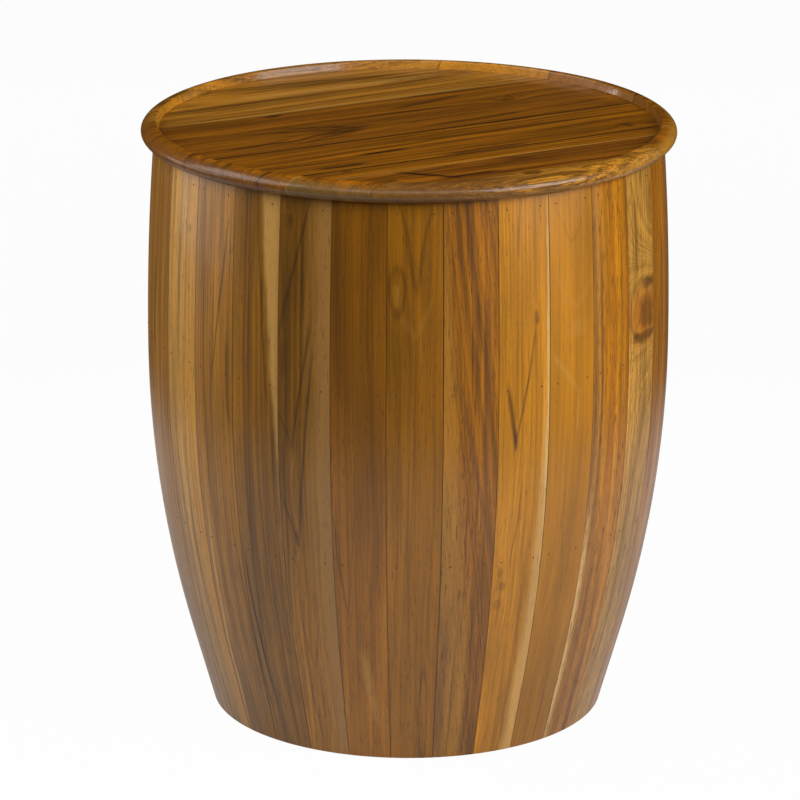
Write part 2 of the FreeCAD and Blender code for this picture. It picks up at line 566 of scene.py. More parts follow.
class WoodFinish:
    """Lacquered hardwood as a solid: rings about the log's heart, fibres, pores and the plank's own marks,
    with painted shade and light at the staves' feet and on the tray's end grain.

    The sizes say how long a noise's blots are along, across and into the plank, in millimetres.
    """

    sway_sizes: Colour = (260.0, 60.0, 60.0)
    ripple_sizes: Colour = (48.0, 14.0, 14.0)
    streak_sizes: Colour = (190.0, 3.6, 3.6)
    fibre_sizes: Colour = (110.0, 0.9, 0.9)
    fleck_sizes: Colour = (12.0, 0.8, 0.8)
    cloud_sizes: Colour = (170.0, 26.0, 26.0)
    dot_sizes: Colour = (2.5, 0.9, 0.9)
    band_weight: float = 1.3
    late_weight: float = 0.22
    streak_weight: float = 1.6
    fibre_weight: float = 1.6
    light: float = 1.50
    dark: float = 0.44
    glue_line: float = 0.55

    def __init__(self, name: str, plank: Plank, seat: Seat, seed: float) -> None:
        """Keeps what the finish is made from.

        Args:
            name: the finish's name.
            plank: how the wood looks.
            seat: where the plank sits.
            seed: which part of the noises it takes.
        """
        self.sheet = Sheet(name)
        self.plank = plank
        self.seat = seat
        self.seed = seed

    def place(self) -> tuple[Signal, Signal, Signal, Signal]:
        """Finds the plank's own axes.

        Returns:
            The place along, across and out of the plank, in millimetres, and the three as a vector, in
            which the depth counts for less where the plank was bent, because its grain bends with it.
        """
        sheet = self.sheet
        world = sheet.node("ShaderNodeTexCoord", None, None, "Object")
        inputs = {"Vector": world, "Location": self.seat.shift, "Rotation": (0.0, 0.0, self.seat.turn),
                  "Scale": (MILLIMETRES, MILLIMETRES, MILLIMETRES)}
        turned = sheet.node("ShaderNodeMapping", {"vector_type": "POINT"}, inputs)
        parts = sheet.node("ShaderNodeSeparateXYZ", None, {"Vector": turned})
        along = parts.out(self.seat.along)
        across = parts.out(self.seat.across)
        depth = parts.out(self.seat.depth)
        place = sheet.node("ShaderNodeCombineXYZ", None, {0: along, 1: across, 2: depth * self.plank.dip})
        return along, across, depth, place

    def tint(self, factor: float, warmth: float) -> Colour:
        """The plank's tone made lighter or darker, and redder or paler.

        Args:
            factor: how light it is.
            warmth: below 1 it is redder.

        Returns:
            The colour.
        """
        red, green, blue = self.plank.tone.value
        level = self.plank.value * factor
        warmth = warmth * self.plank.warmth
        return (red * level, green * level * warmth, blue * level * warmth ** 3)

    def build(self) -> Material:
        """Writes the finish.

        Returns:
            The material.
        """
        sheet = self.sheet
        plank = self.plank
        along, across, depth, place = self.place()
        sway = sheet.noise(place, self.sway_sizes, self.seed) - 0.5
        ripple = sheet.noise(place, self.ripple_sizes, self.seed + 3.1) - 0.5
        streak = sheet.noise(place, self.streak_sizes, self.seed + 6.6, 3.0)
        edge = self.seat.half + depth * self.seat.taper - abs(across)
        grain = Grain(sheet, along, across, edge, ripple, streak)

        side = across + along * plank.lean + sway * (2.0 * plank.wander) + ripple * 3.4 - plank.heart_across
        down = depth * plank.dip + along * plank.tilt - sway * plank.wander - plank.heart_depth
        rings = sheet.root(side * side + down * down)
        for knot in [mark for mark in plank.marks if isinstance(mark, Knot)]:
            rings = rings + knot.push(grain)

        bands = sheet.node("ShaderNodeTexNoise", {"noise_dimensions": "1D"},
                           {"W": rings / (2.6 * plank.ring) + self.seed, "Scale": 1.0, "Detail": 3.0})
        year = sheet.fraction((rings + bands * 5.0) / plank.ring)
        late = sheet.step(year, 0.20, 0.86) * sheet.step(year, 1.0, 0.86)
        fibres = sheet.noise(place, self.fibre_sizes, self.seed + 5.3, 3.0)
        flecks = sheet.noise(place, self.fleck_sizes, self.seed + 8.9, 1.0)
        pores = sheet.step(flecks, 0.66 - 0.08 * plank.flecks, 0.74 - 0.08 * plank.flecks)
        cloud = sheet.noise(place, self.cloud_sizes, self.seed + 12.7)

        figure = (bands - 0.5) * self.band_weight + (late - 0.35) * self.late_weight
        figure = figure + (streak - 0.5) * self.streak_weight + (fibres - 0.5) * self.fibre_weight
        tone = sheet.limit(figure * plank.contrast + 0.45)
        colour = sheet.mix(tone, self.tint(self.light, 1.02), self.tint(self.dark, 0.98))
        colour = sheet.mix(1.0, colour, cloud * 0.9 + 0.55, "MULTIPLY")
        # Painted shade and light by height: the foot factor darkens the stave's foot where it is below 1 and
        # lightens it where it is above 1, fading out by 340 mm up.
        if plank.foot != 1.0:
            level = sheet.step(along, 20.0, 340.0) * (1.0 - plank.foot) + plank.foot
            colour = sheet.mix(1.0, colour, level, "MULTIPLY")
        for mark in plank.marks:
            colour = sheet.mix(mark.mask(grain), colour, mark.shade.value)
        threads = sheet.step(streak, 0.66, 0.78) * sheet.step(fibres, 0.40, 0.62)
        colour = sheet.mix(threads * plank.threads, colour, self.tint(0.22, 0.85))
        colour = sheet.mix(pores * (0.35 + 0.4 * plank.flecks), colour, self.tint(0.25, 0.85))
        if self.seat.end_grain:
            soaked, inside, right = self.ends(place)
            # Painted light: the boards' right ends take a lighter colour than their left ends.
            shade = sheet.mix(right, plank.end_shade.value, plank.right_end_painted_light.value)
            # Painted light: the tray's inner wall takes its own colour, set lighter than the top and nose.
            shade = sheet.mix(inside, shade, plank.inner_wall_painted_light.value)
            colour = sheet.mix(soaked * plank.ends, colour, shade)
        colour = sheet.mix(sheet.step(edge, 0.7, 0.15) * self.glue_line, colour, Shade.DARK.value)

        roughness = tone * 0.08 + pores * 0.12 + 0.30
        height = fibres * 0.35 - pores * 0.6 - late * 0.15 + 0.5
        normal = sheet.bump(height, 0.22, 0.00025)
        lacquer = {"Coat Weight": self.seat.coat, "Coat Roughness": self.seat.coat_roughness,
                   "Specular IOR Level": self.seat.sheen}
        return sheet.surface(lacquer, base=colour, roughness=roughness, normal=normal)

    def ends(self, place: Signal) -> tuple[Signal, Signal, Signal]:
        """Finds the end grain that the turning laid bare.

        Args:
            place: the place in the plank.

        Returns:
            How much end grain shows at a point, how far that point is on the tray's inner wall, which takes
            painted light, and how far it is on the board's right end, which takes painted light too.
        """
        sheet = self.sheet
        facing = sheet.node("ShaderNodeNewGeometry", None, None, "Normal")
        turn = self.seat.turn
        along = (math.cos(turn), -math.sin(turn), 0.0)
        square = sheet.dot(facing, along)
        dots = sheet.noise(place, self.dot_sizes, self.seed + 15.1, 2.0)
        world = sheet.node("ShaderNodeTexCoord", None, None, "Object")
        outward = sheet.dot(facing, world)
        lift = sheet.node("ShaderNodeSeparateXYZ", None, {0: world}, "Z")
        rise = sheet.node("ShaderNodeSeparateXYZ", None, {0: facing}, "Z")
        inside = sheet.step(outward - lift * rise, -0.04, -0.14)
        soaked = sheet.step(abs(square), 0.15, 0.60) * (sheet.step(dots, 0.30, 0.62) * 0.7 + 0.3)
        return soaked, inside, sheet.step(square, -0.1, 0.1)


@dataclass(frozen=True)
class PlywoodFinish:
    """Raw plywood: thin plies that lie flat, seen on the hoops' edges."""

    light: Colour = (0.52, 0.34, 0.17)
    dark: Colour = (0.30, 0.17, 0.075)
    ply: float = 1.5

    def build(self) -> Material:
        """Writes the finish."""
        sheet = Sheet("plywood")
        place = sheet.place()
        height = sheet.node("ShaderNodeSeparateXYZ", None, {"Vector": place}, "Z")
        waver = sheet.noise(place, (90.0, 90.0, 30.0), 2.3) - 0.5
        layer = sheet.fraction((height + waver * 0.6) / (2.0 * self.ply))
        turn = sheet.step(abs(layer - 0.5), 0.21, 0.29)
        fibres = sheet.noise(place, (40.0, 1.5, 6.0), 4.1)
        cross = sheet.noise(place, (1.5, 40.0, 6.0), 6.4)
        lines = turn * fibres + (1.0 - turn) * cross
        colour = sheet.mix(sheet.limit(lines * 0.9 + turn * 0.25), self.light, self.dark)
        normal = sheet.bump(lines, 0.25, 0.0003)
        dull = {"Specular IOR Level": 0.3}
        return sheet.surface(dull, base=colour, roughness=lines * 0.2 + 0.6, normal=normal)


@dataclass(frozen=True)
class SteelFinish:
    """Zinc-plated screws, a little cloudy."""

    name: str
    light: Colour
    dark: Colour

    def build(self) -> Material:
        """Writes the finish."""
        sheet = Sheet(self.name)
        place = sheet.place()
        cloud = sheet.noise(place, (2.5, 2.5, 2.5), 1.9, 4.0)
        scratch = sheet.noise(place, (0.3, 4.0, 4.0), 7.2)
        colour = sheet.mix(cloud, self.light, self.dark)
        normal = sheet.bump(scratch, 0.1, 0.0001)
        return sheet.surface({"Metallic": 1.0}, base=colour, roughness=scratch * 0.25 + 0.28, normal=normal)


@dataclass(frozen=True)
class SpeckFinish:
    """A dull finish with fine blots, such as hard wax or moulded nylon."""

    name: str
    light: Colour
    dark: Colour
    blot: float
    shift: float
    relief: float
    depth: float
    sheen: float
    roughness: float

    def build(self) -> Material:
        """Writes the finish."""
        sheet = Sheet(self.name)
        blots = sheet.noise(sheet.place(), (self.blot, self.blot, self.blot), self.shift, 3.0)
        colour = sheet.mix(blots, self.light, self.dark)
        normal = sheet.bump(blots, self.relief, self.depth)
        rough = blots * 0.2 + self.roughness
        return sheet.surface({"Specular IOR Level": self.sheen}, base=colour, roughness=rough, normal=normal)


BRAD_WAX = SpeckFinish("brad_wax", (0.17, 0.072, 0.009), (0.06, 0.025, 0.004), blot=0.9, shift=3.7,
                       relief=0.3, depth=0.0002, sheen=0.3, roughness=0.5)
GLIDE_NYLON = SpeckFinish("glide_nylon", (0.045, 0.042, 0.040), (0.020, 0.019, 0.018), blot=0.4, shift=5.5,
                          relief=0.25, depth=0.0001, sheen=0.4, roughness=0.42)


def only(items: list, kind: type) -> list:
    """The items of one kind, such as the edges among what an operator made."""
    return [item for item in items if isinstance(item, kind)]


def whole(mesh: Mesh) -> list:
    """Everything that a bmesh is made of."""
    return mesh.verts[:] + mesh.edges[:] + mesh.faces[:]


def finished(node: str, word: str, mesh: Mesh, material: Material) -> None:
    """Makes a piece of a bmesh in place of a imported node, smooth on its curves and sharp at corners.

    Args:
        node: the node that the piece stands for.
        word: how the piece was worked, which its name starts with.
        mesh: the bmesh, which is freed.
        material: its finish.
    """
    name = f"{word}_{node}"
    bmesh.ops.recalc_face_normals(mesh, faces=mesh.faces[:])
    for face in mesh.faces:
        face.smooth = True
    for edge in mesh.edges:
        edge.smooth = len(edge.link_faces) == 2 and edge.calc_face_angle() < SHARP_ANGLE
    data = bpy.data.meshes.new(name)
    mesh.to_mesh(data)
    mesh.free()
    data.materials.append(material)
    piece = bpy.data.objects.new(name, data)
    bpy.context.scene.collection.objects.link(piece)
    piece.modifiers.new("even_shading", "WEIGHTED_NORMAL").keep_sharp = True
    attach(piece, "root")
    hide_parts(node)
    log.info("%s: %d faces", name, len(data.polygons))


@dataclass
class Wall:
    """The drum's outline: a straight foot, a long curve out to the belly and a slow one in to the crown."""

    foot: float = 0.001
    crown: float = 0.494
    belly_radius: float = 0.221
    belly_height: float = 0.320
    straight_height: float = 0.066
    foot_inset: float = 0.0535
    belly_standout: float = 0.0065

    def __post_init__(self) -> None:
        """Works out the slope of the foot and the two curves that meet at the belly."""
        rise = self.belly_height - self.straight_height
        half = self.foot_inset / (rise + 2.0 * self.straight_height)
        for _ in range(20):
            half = self.foot_inset / (rise + 2.0 * self.straight_height / (1.0 - half * half))
        self.slope = 2.0 * math.atan(half)
        self.lower_curve = rise / math.sin(self.slope)
        upper = self.crown - self.foot - self.belly_height
        self.upper_curve = (upper * upper + self.belly_standout ** 2) / (2.0 * self.belly_standout)
        self.upper_turn = math.asin(upper / self.upper_curve)

    def radius(self, height: float) -> float:
        """The outer radius.

        Args:
            height: above the floor.

        Returns:
            The radius there.
        """
        up = height - self.foot
        if up < self.straight_height:
            return self.belly_radius - self.foot_inset + up * math.tan(self.slope)
        curve = self.lower_curve if up < self.belly_height else self.upper_curve
        return self.belly_radius - curve + math.sqrt(curve * curve - (up - self.belly_height) ** 2)


@dataclass
class StaveDrum:
    """The thirty staves, each bent along its length, rounded across its face and eased at its edges."""

    count: int = 30
    first_seam: float = -4.55
    thickness: float = 0.018
    arris: float = 0.0004
    lower_steps: int = 40
    upper_steps: int = 24
    face_steps: int = 8
    overrun: float = 1.25
    wall: Wall = field(default_factory=Wall)

    def centre(self, number: int) -> float:
        """The angle of a stave's middle from the front, in degrees."""
        return self.first_seam + 360.0 / self.count * (number - 0.5)

    def seat(self, number: int) -> Seat:
        """The axes of a stave's wood: up it, across it to the right, and outwards from its face.

        Args:
            number: the stave's number.

        Returns:
            Where the stave sits.
        """
        turn = math.radians(90.0 - self.centre(number))
        taper = math.tan(math.pi / self.count)
        out = MILLIMETRES * self.wall.belly_radius
        return Seat(turn, (-out, 0.0, 0.0), "Z", "Y", "X", out * taper, taper)

    def section(self) -> Mesh:
        """Draws the cut through a stave, seen on the plane through the drum's axis at its left edge.

        Returns:
            A strip of faces from the foot to the crown, in the plane y = 0.
        """
        wall = self.wall
        mesh = bmesh.new()
        past = self.thickness
        foot_radius = wall.belly_radius - wall.foot_inset
        start = Vector((foot_radius, 0.0, wall.foot)) - past * Vector((math.tan(wall.slope), 0.0, 1.0))
        inward = Vector((-math.cos(wall.slope), 0.0, math.sin(wall.slope)))
        outer = mesh.verts.new(start)
        inner = mesh.verts.new(start + inward * self.thickness)
        edge = mesh.edges.new((outer, inner))
        rise = wall.straight_height + past
        made = bmesh.ops.extrude_edge_only(mesh, edges=[edge])["geom"]
        tops = only(made, Vert)
        bmesh.ops.translate(mesh, verts=tops, vec=(rise * math.tan(wall.slope), 0.0, rise))
        last = [item for item in only(made, Edge) if all(vert in tops for vert in item.verts)]
        belly = wall.foot + wall.belly_height
        lower = (wall.lower_curve, wall.slope, self.lower_steps)
        upper = (wall.upper_curve, self.overrun * wall.upper_turn, self.upper_steps)
        for curve, turn, steps in (lower, upper):
            centre = (wall.belly_radius - curve, 0.0, belly)
            geometry = last + [vert for item in last for vert in item.verts]
            made = bmesh.ops.spin(mesh, geom=geometry, cent=centre, axis=(0.0, 1.0, 0.0), angle=-turn,
                                  steps=steps)
            last = only(made["geom_last"], Edge)
        for height, up in ((wall.foot, -1.0), (wall.crown, 1.0)):
            bmesh.ops.bisect_plane(mesh, geom=whole(mesh), plane_co=(0.0, 0.0, height),
                                   plane_no=(0.0, 0.0, up), clear_outer=True)
        return mesh

    def stave(self, number: int) -> Mesh:
        """Turns the cut into one stave.

        Args:
            number: the stave's number, from 1 at the front and rising to the right.

        Returns:
            The stave's bmesh, in place.
        """
        mesh = self.section()
        pitch = math.radians(360.0 / self.count)
        left = math.radians(self.centre(number)) - pitch / 2.0 - math.pi / 2.0
        bmesh.ops.rotate(mesh, verts=mesh.verts[:], cent=ORIGIN, matrix=Matrix.Rotation(left, 3, "Z"))
        bmesh.ops.spin(mesh, geom=whole(mesh), cent=ORIGIN, axis=UPRIGHT, angle=pitch, steps=self.face_steps)
        bmesh.ops.remove_doubles(mesh, verts=mesh.verts[:], dist=WELD)
        bmesh.ops.recalc_face_normals(mesh, faces=mesh.faces[:])
        arrises = [edge for edge in mesh.edges if self.is_arris(edge)]
        bmesh.ops.bevel(mesh, geom=arrises, offset=self.arris, offset_type="OFFSET", affect="EDGES",
                        segments=2, profile=0.5, material=-1)
        return mesh

    def is_arris(self, edge: Edge) -> bool:
        """Whether an edge is one of the corners round a stave's outer face.

        Args:
            edge: an edge of the stave.

        Returns:
            True where it is.
        """
        middle = (edge.verts[0].co + edge.verts[1].co) / 2.0
        outside = math.hypot(middle.x, middle.y) > self.wall.radius(middle.z) - self.thickness / 2.0
        return outside and len(edge.link_faces) == 2 and edge.calc_face_angle() > CORNER_ANGLE

    def plank(self, number: int) -> Plank:
        """How a stave's wood looks; the staves at the back are made up from their number.

        Args:
            number: the stave's number.

        Returns:
            The look.
        """
        if number in SEEN_STAVES:
            return SEEN_STAVES[number]
        draw = random.Random(BACK_SEED + number).uniform
        tone = BACK_TONES.get(number, Tone.GOLDEN)
        vein = Vein(draw(-16.0, 16.0), draw(60.0, 440.0), draw(80.0, 260.0), draw(1.0, 3.0), draw(0.3, 0.7),
                    draw(-0.06, 0.06))
        value = draw(1.1, 1.5) if tone is Tone.BROWN else draw(0.7, 1.0)
        return Plank(tone, value, draw(-60.0, 60.0), draw(-70.0, -30.0), draw(-0.02, 0.02),
                     draw(-0.02, 0.02), draw(2.6, 3.6), contrast=draw(0.5, 0.9),
                     flecks=draw(0.3, 0.9), marks=(vein,))

    def build(self, frame: dict) -> None:
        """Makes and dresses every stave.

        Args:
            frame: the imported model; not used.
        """
        for number in range(1, self.count + 1):
            node = f"stave_{number:02d}"
            finish = WoodFinish(f"{node}_wood", self.plank(number), self.seat(number), STAVE_SEED * number)
            finished(node, "bent", self.stave(number), finish.build())


@dataclass
class TrayTop:
    """The tray: seven boards glued edge to edge and turned round, with a nosed rim and a shallow floor."""

    rim_radius: float = 0.225
    underside: float = 0.494
    lip: float = 0.511
    floor: float = 0.504
    wall_lean: float = 0.0016
    arris: float = 0.002
    rim_flat: float = 0.0003
    nose: float = 0.006
    blend: float = 0.013
    meet: float = 40.0
    board_angle: float = 30.0
    round_steps: int = 240
    nose_steps: int = 10
    blend_steps: int = 8
    arris_steps: int = 5
    seams: tuple[float, ...] = (0.168, 0.088, -0.022, -0.104, -0.127, -0.178)

    def section(self) -> Mesh:
        """Draws the tray's outline from the middle of its underside, round the rim, to that of its floor.

        Returns:
            A chain of edges in the plane y = 0.
        """
        mesh = bmesh.new()
        middle = (self.underside + self.lip) / 2.0
        meet = math.radians(self.meet)
        nose_at = self.rim_radius - self.nose
        back = self.blend - self.nose
        blend_at = nose_at - back * math.cos(meet)
        low = middle + back * math.sin(meet)
        high = middle - back * math.sin(meet)
        quarter = math.pi / 2.0
        chain = [mesh.verts.new((0.0, 0.0, self.underside))]
        self.run(mesh, chain, (blend_at, 0.0, low - self.blend))
        self.swing(mesh, chain, (blend_at, 0.0, low), quarter - meet, self.blend_steps)
        self.swing(mesh, chain, (nose_at, 0.0, middle), 2.0 * meet, self.nose_steps)
        self.swing(mesh, chain, (blend_at, 0.0, high), quarter - meet, self.blend_steps)
        inner = blend_at - self.rim_flat
        self.run(mesh, chain, (inner, 0.0, self.lip))
        steep = math.atan2(self.lip - self.floor, self.wall_lean)
        self.swing(mesh, chain, (inner, 0.0, self.lip - self.arris), steep, self.arris_steps)
        left = chain[-1].co.z - self.floor
        self.run(mesh, chain, (chain[-1].co.x - left / math.tan(steep), 0.0, self.floor))
        self.run(mesh, chain, (0.0, 0.0, self.floor))
        return mesh

    @staticmethod
    def run(mesh: Mesh, chain: list, end: Colour) -> None:
        """Carries the outline straight on to a point."""
        chain.append(mesh.verts.new(end))
        mesh.edges.new(chain[-2:])

    @staticmethod
    def swing(mesh: Mesh, chain: list, centre: Colour, turn: float, steps: int) -> None:
        """Carries the outline on in an arc about a centre, anticlockwise."""
        made = bmesh.ops.spin(mesh, geom=[chain[-1]], cent=centre, axis=(0.0, -1.0, 0.0), angle=turn,
                              steps=steps)
        chain.extend(only(made["geom_last"], Vert))

    def turned(self) -> Mesh:
        """Turns the outline into the whole tray.

        Returns:
            The closed tray.
        """
        mesh = self.section()
        bmesh.ops.spin(mesh, geom=mesh.verts[:] + mesh.edges[:], cent=ORIGIN, axis=UPRIGHT,
                       angle=2.0 * math.pi, steps=self.round_steps, use_merge=True)
        bmesh.ops.remove_doubles(mesh, verts=mesh.verts[:], dist=WELD)
        bmesh.ops.recalc_face_normals(mesh, faces=mesh.faces[:])
        return mesh

    def board(self, far: float | None, near: float | None) -> Mesh:
        """Cuts one board out of the tray.

        Args:
            far: its seam towards the back, from the middle, or None at the rim.
            near: its seam towards the front, or None at the rim.

        Returns:
            The closed board.
        """
        mesh = self.turned()
        turn = math.radians(self.board_angle)
        across = Vector((-math.sin(turn), math.cos(turn), 0.0))
        for seam, side in ((far, 1.0), (near, -1.0)):
            if seam is None:
                continue
            cut = bmesh.ops.bisect_plane(mesh, geom=whole(mesh), plane_co=across * seam,
                                         plane_no=across * side, clear_outer=True)
            bmesh.ops.holes_fill(mesh, edges=only(cut["geom_cut"], Edge))
        return mesh

    def build(self, frame: dict) -> None:
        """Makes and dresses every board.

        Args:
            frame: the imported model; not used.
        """
        edges = (None, *self.seams, None)
        ends = (self.rim_radius, *self.seams, -self.rim_radius)
        for index in range(len(edges) - 1):
            number = index + 1
            middle = (ends[index] + ends[index + 1]) / 2.0
            shift = (0.0, -MILLIMETRES * middle, -MILLIMETRES * self.floor)
            half = MILLIMETRES * (ends[index] - ends[index + 1]) / 2.0
            seat = Seat(-math.radians(self.board_angle), shift, "X", "Y", "Z", half, end_grain=True,
                        coat=0.3, coat_roughness=0.10, sheen=0.2)
            node = f"top_board_{number}"
            seed = BOARD_SEED + BOARD_SEED_STEP * number
            finish = WoodFinish(f"{node}_wood", BOARDS[number], seat, seed)
            finished(node, "turned", self.board(edges[index], edges[index + 1]), finish.build())


@dataclass
class BradRows:
    """Rows of brads, two through each stave into each hoop, their sunk heads stopped with wax."""

    heights: dict[str, float] = field(default_factory=lambda: {
        "upper_brads": 0.485, "middle_brads": 0.335, "lower_brads": 0.185})
    radius: float = 0.0008
    length: float = 0.0300
    edge: float = 0.0076
    proud: float = 0.0001
    point: float = 0.6
    sides: int = 10

    def row(self, drum: StaveDrum, height: float) -> Mesh:
        """Makes one row.

        Args:
            drum: the staves that the brads go through.
            height: the row's height above the floor.

        Returns:
            The brads, in place.
        """
        mesh = bmesh.new()
        out = drum.wall.radius(height)
        half = math.pi / drum.count
        aside = half - self.edge / out
        middle = out - self.length / 2.0 + self.proud
        for number in range(1, drum.count + 1):
            for side in (-1.0, 1.0):
                angle = math.radians(drum.centre(number)) + side * aside - math.pi / 2.0
                place = Matrix.Rotation(angle, 4, "Z") @ Matrix.Translation((middle, 0.0, height))
                lie = place @ Matrix.Rotation(math.pi / 2.0, 4, "Y")
                bmesh.ops.create_cone(mesh, cap_ends=True, segments=self.sides,
                                      radius1=self.point * self.radius, radius2=self.radius,
                                      depth=self.length, matrix=lie)
        return mesh

    def build(self, frame: dict, drum: StaveDrum) -> None:
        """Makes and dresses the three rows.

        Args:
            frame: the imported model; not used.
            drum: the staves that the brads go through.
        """
        wax = BRAD_WAX.build()
        for node, height in self.heights.items():
            finished(node, "waxed", self.row(drum, height), wax)


@dataclass
class InnerFrame:
    """The hoops, battens, screws and glides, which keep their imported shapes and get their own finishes."""

    hoops: tuple[str, ...] = ("upper_hoop", "middle_hoop", "lower_hoop")
    battens: tuple[str, ...] = ("top_batten_1", "top_batten_2")
    screws: tuple[str, ...] = ("top_screws", "batten_screws")
    glides: int = 6
    batten_angle: float = 120.0
    batten_height: float = 485.0
    batten_half: float = 150.0

    def dress(self, frame: dict, node: str, material: Material) -> None:
        """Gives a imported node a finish.

        Args:
            frame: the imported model.
            node: the node's name.
            material: its finish.
        """
        packed = frame["nodes"][node]
        packed.data.materials.clear()
        packed.data.materials.append(material)
        log.info("%s: %s", node, material.name)

    def build(self, frame: dict) -> None:
        """Dresses every hidden node.

        Args:
            frame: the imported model.
        """
        plywood = PlywoodFinish().build()
        zinc = SteelFinish("screw_zinc", (0.62, 0.63, 0.65), (0.42, 0.43, 0.45)).build()
        nylon = GLIDE_NYLON.build()
        for node in self.hoops:
            self.dress(frame, node, plywood)
        for number, node in enumerate(self.battens):
            shift = (0.0, 0.0, -self.batten_height)
            seat = Seat(-math.radians(self.batten_angle), shift, "X", "Y", "Z", self.batten_half)
            seed = BATTEN_SEED + BATTEN_SEED_STEP * number
            wood = WoodFinish(f"{node}_wood", Plank(Tone.TAN, 1.4, 20.0, -40.0), seat, seed)
            self.dress(frame, node, wood.build())
        for node in self.screws:
            self.dress(frame, node, zinc)
        for number in range(1, self.glides + 1):
            self.dress(frame, f"floor_glide_{number}", nylon)


BACK_TONES: dict[int, Tone] = {
    8: Tone.BROWN, 10: Tone.PALE, 11: Tone.BROWN, 13: Tone.REDDISH, 15: Tone.BROWN, 16: Tone.PALE,
    18: Tone.REDDISH, 20: Tone.BROWN, 22: Tone.PALE, 23: Tone.BROWN,
}


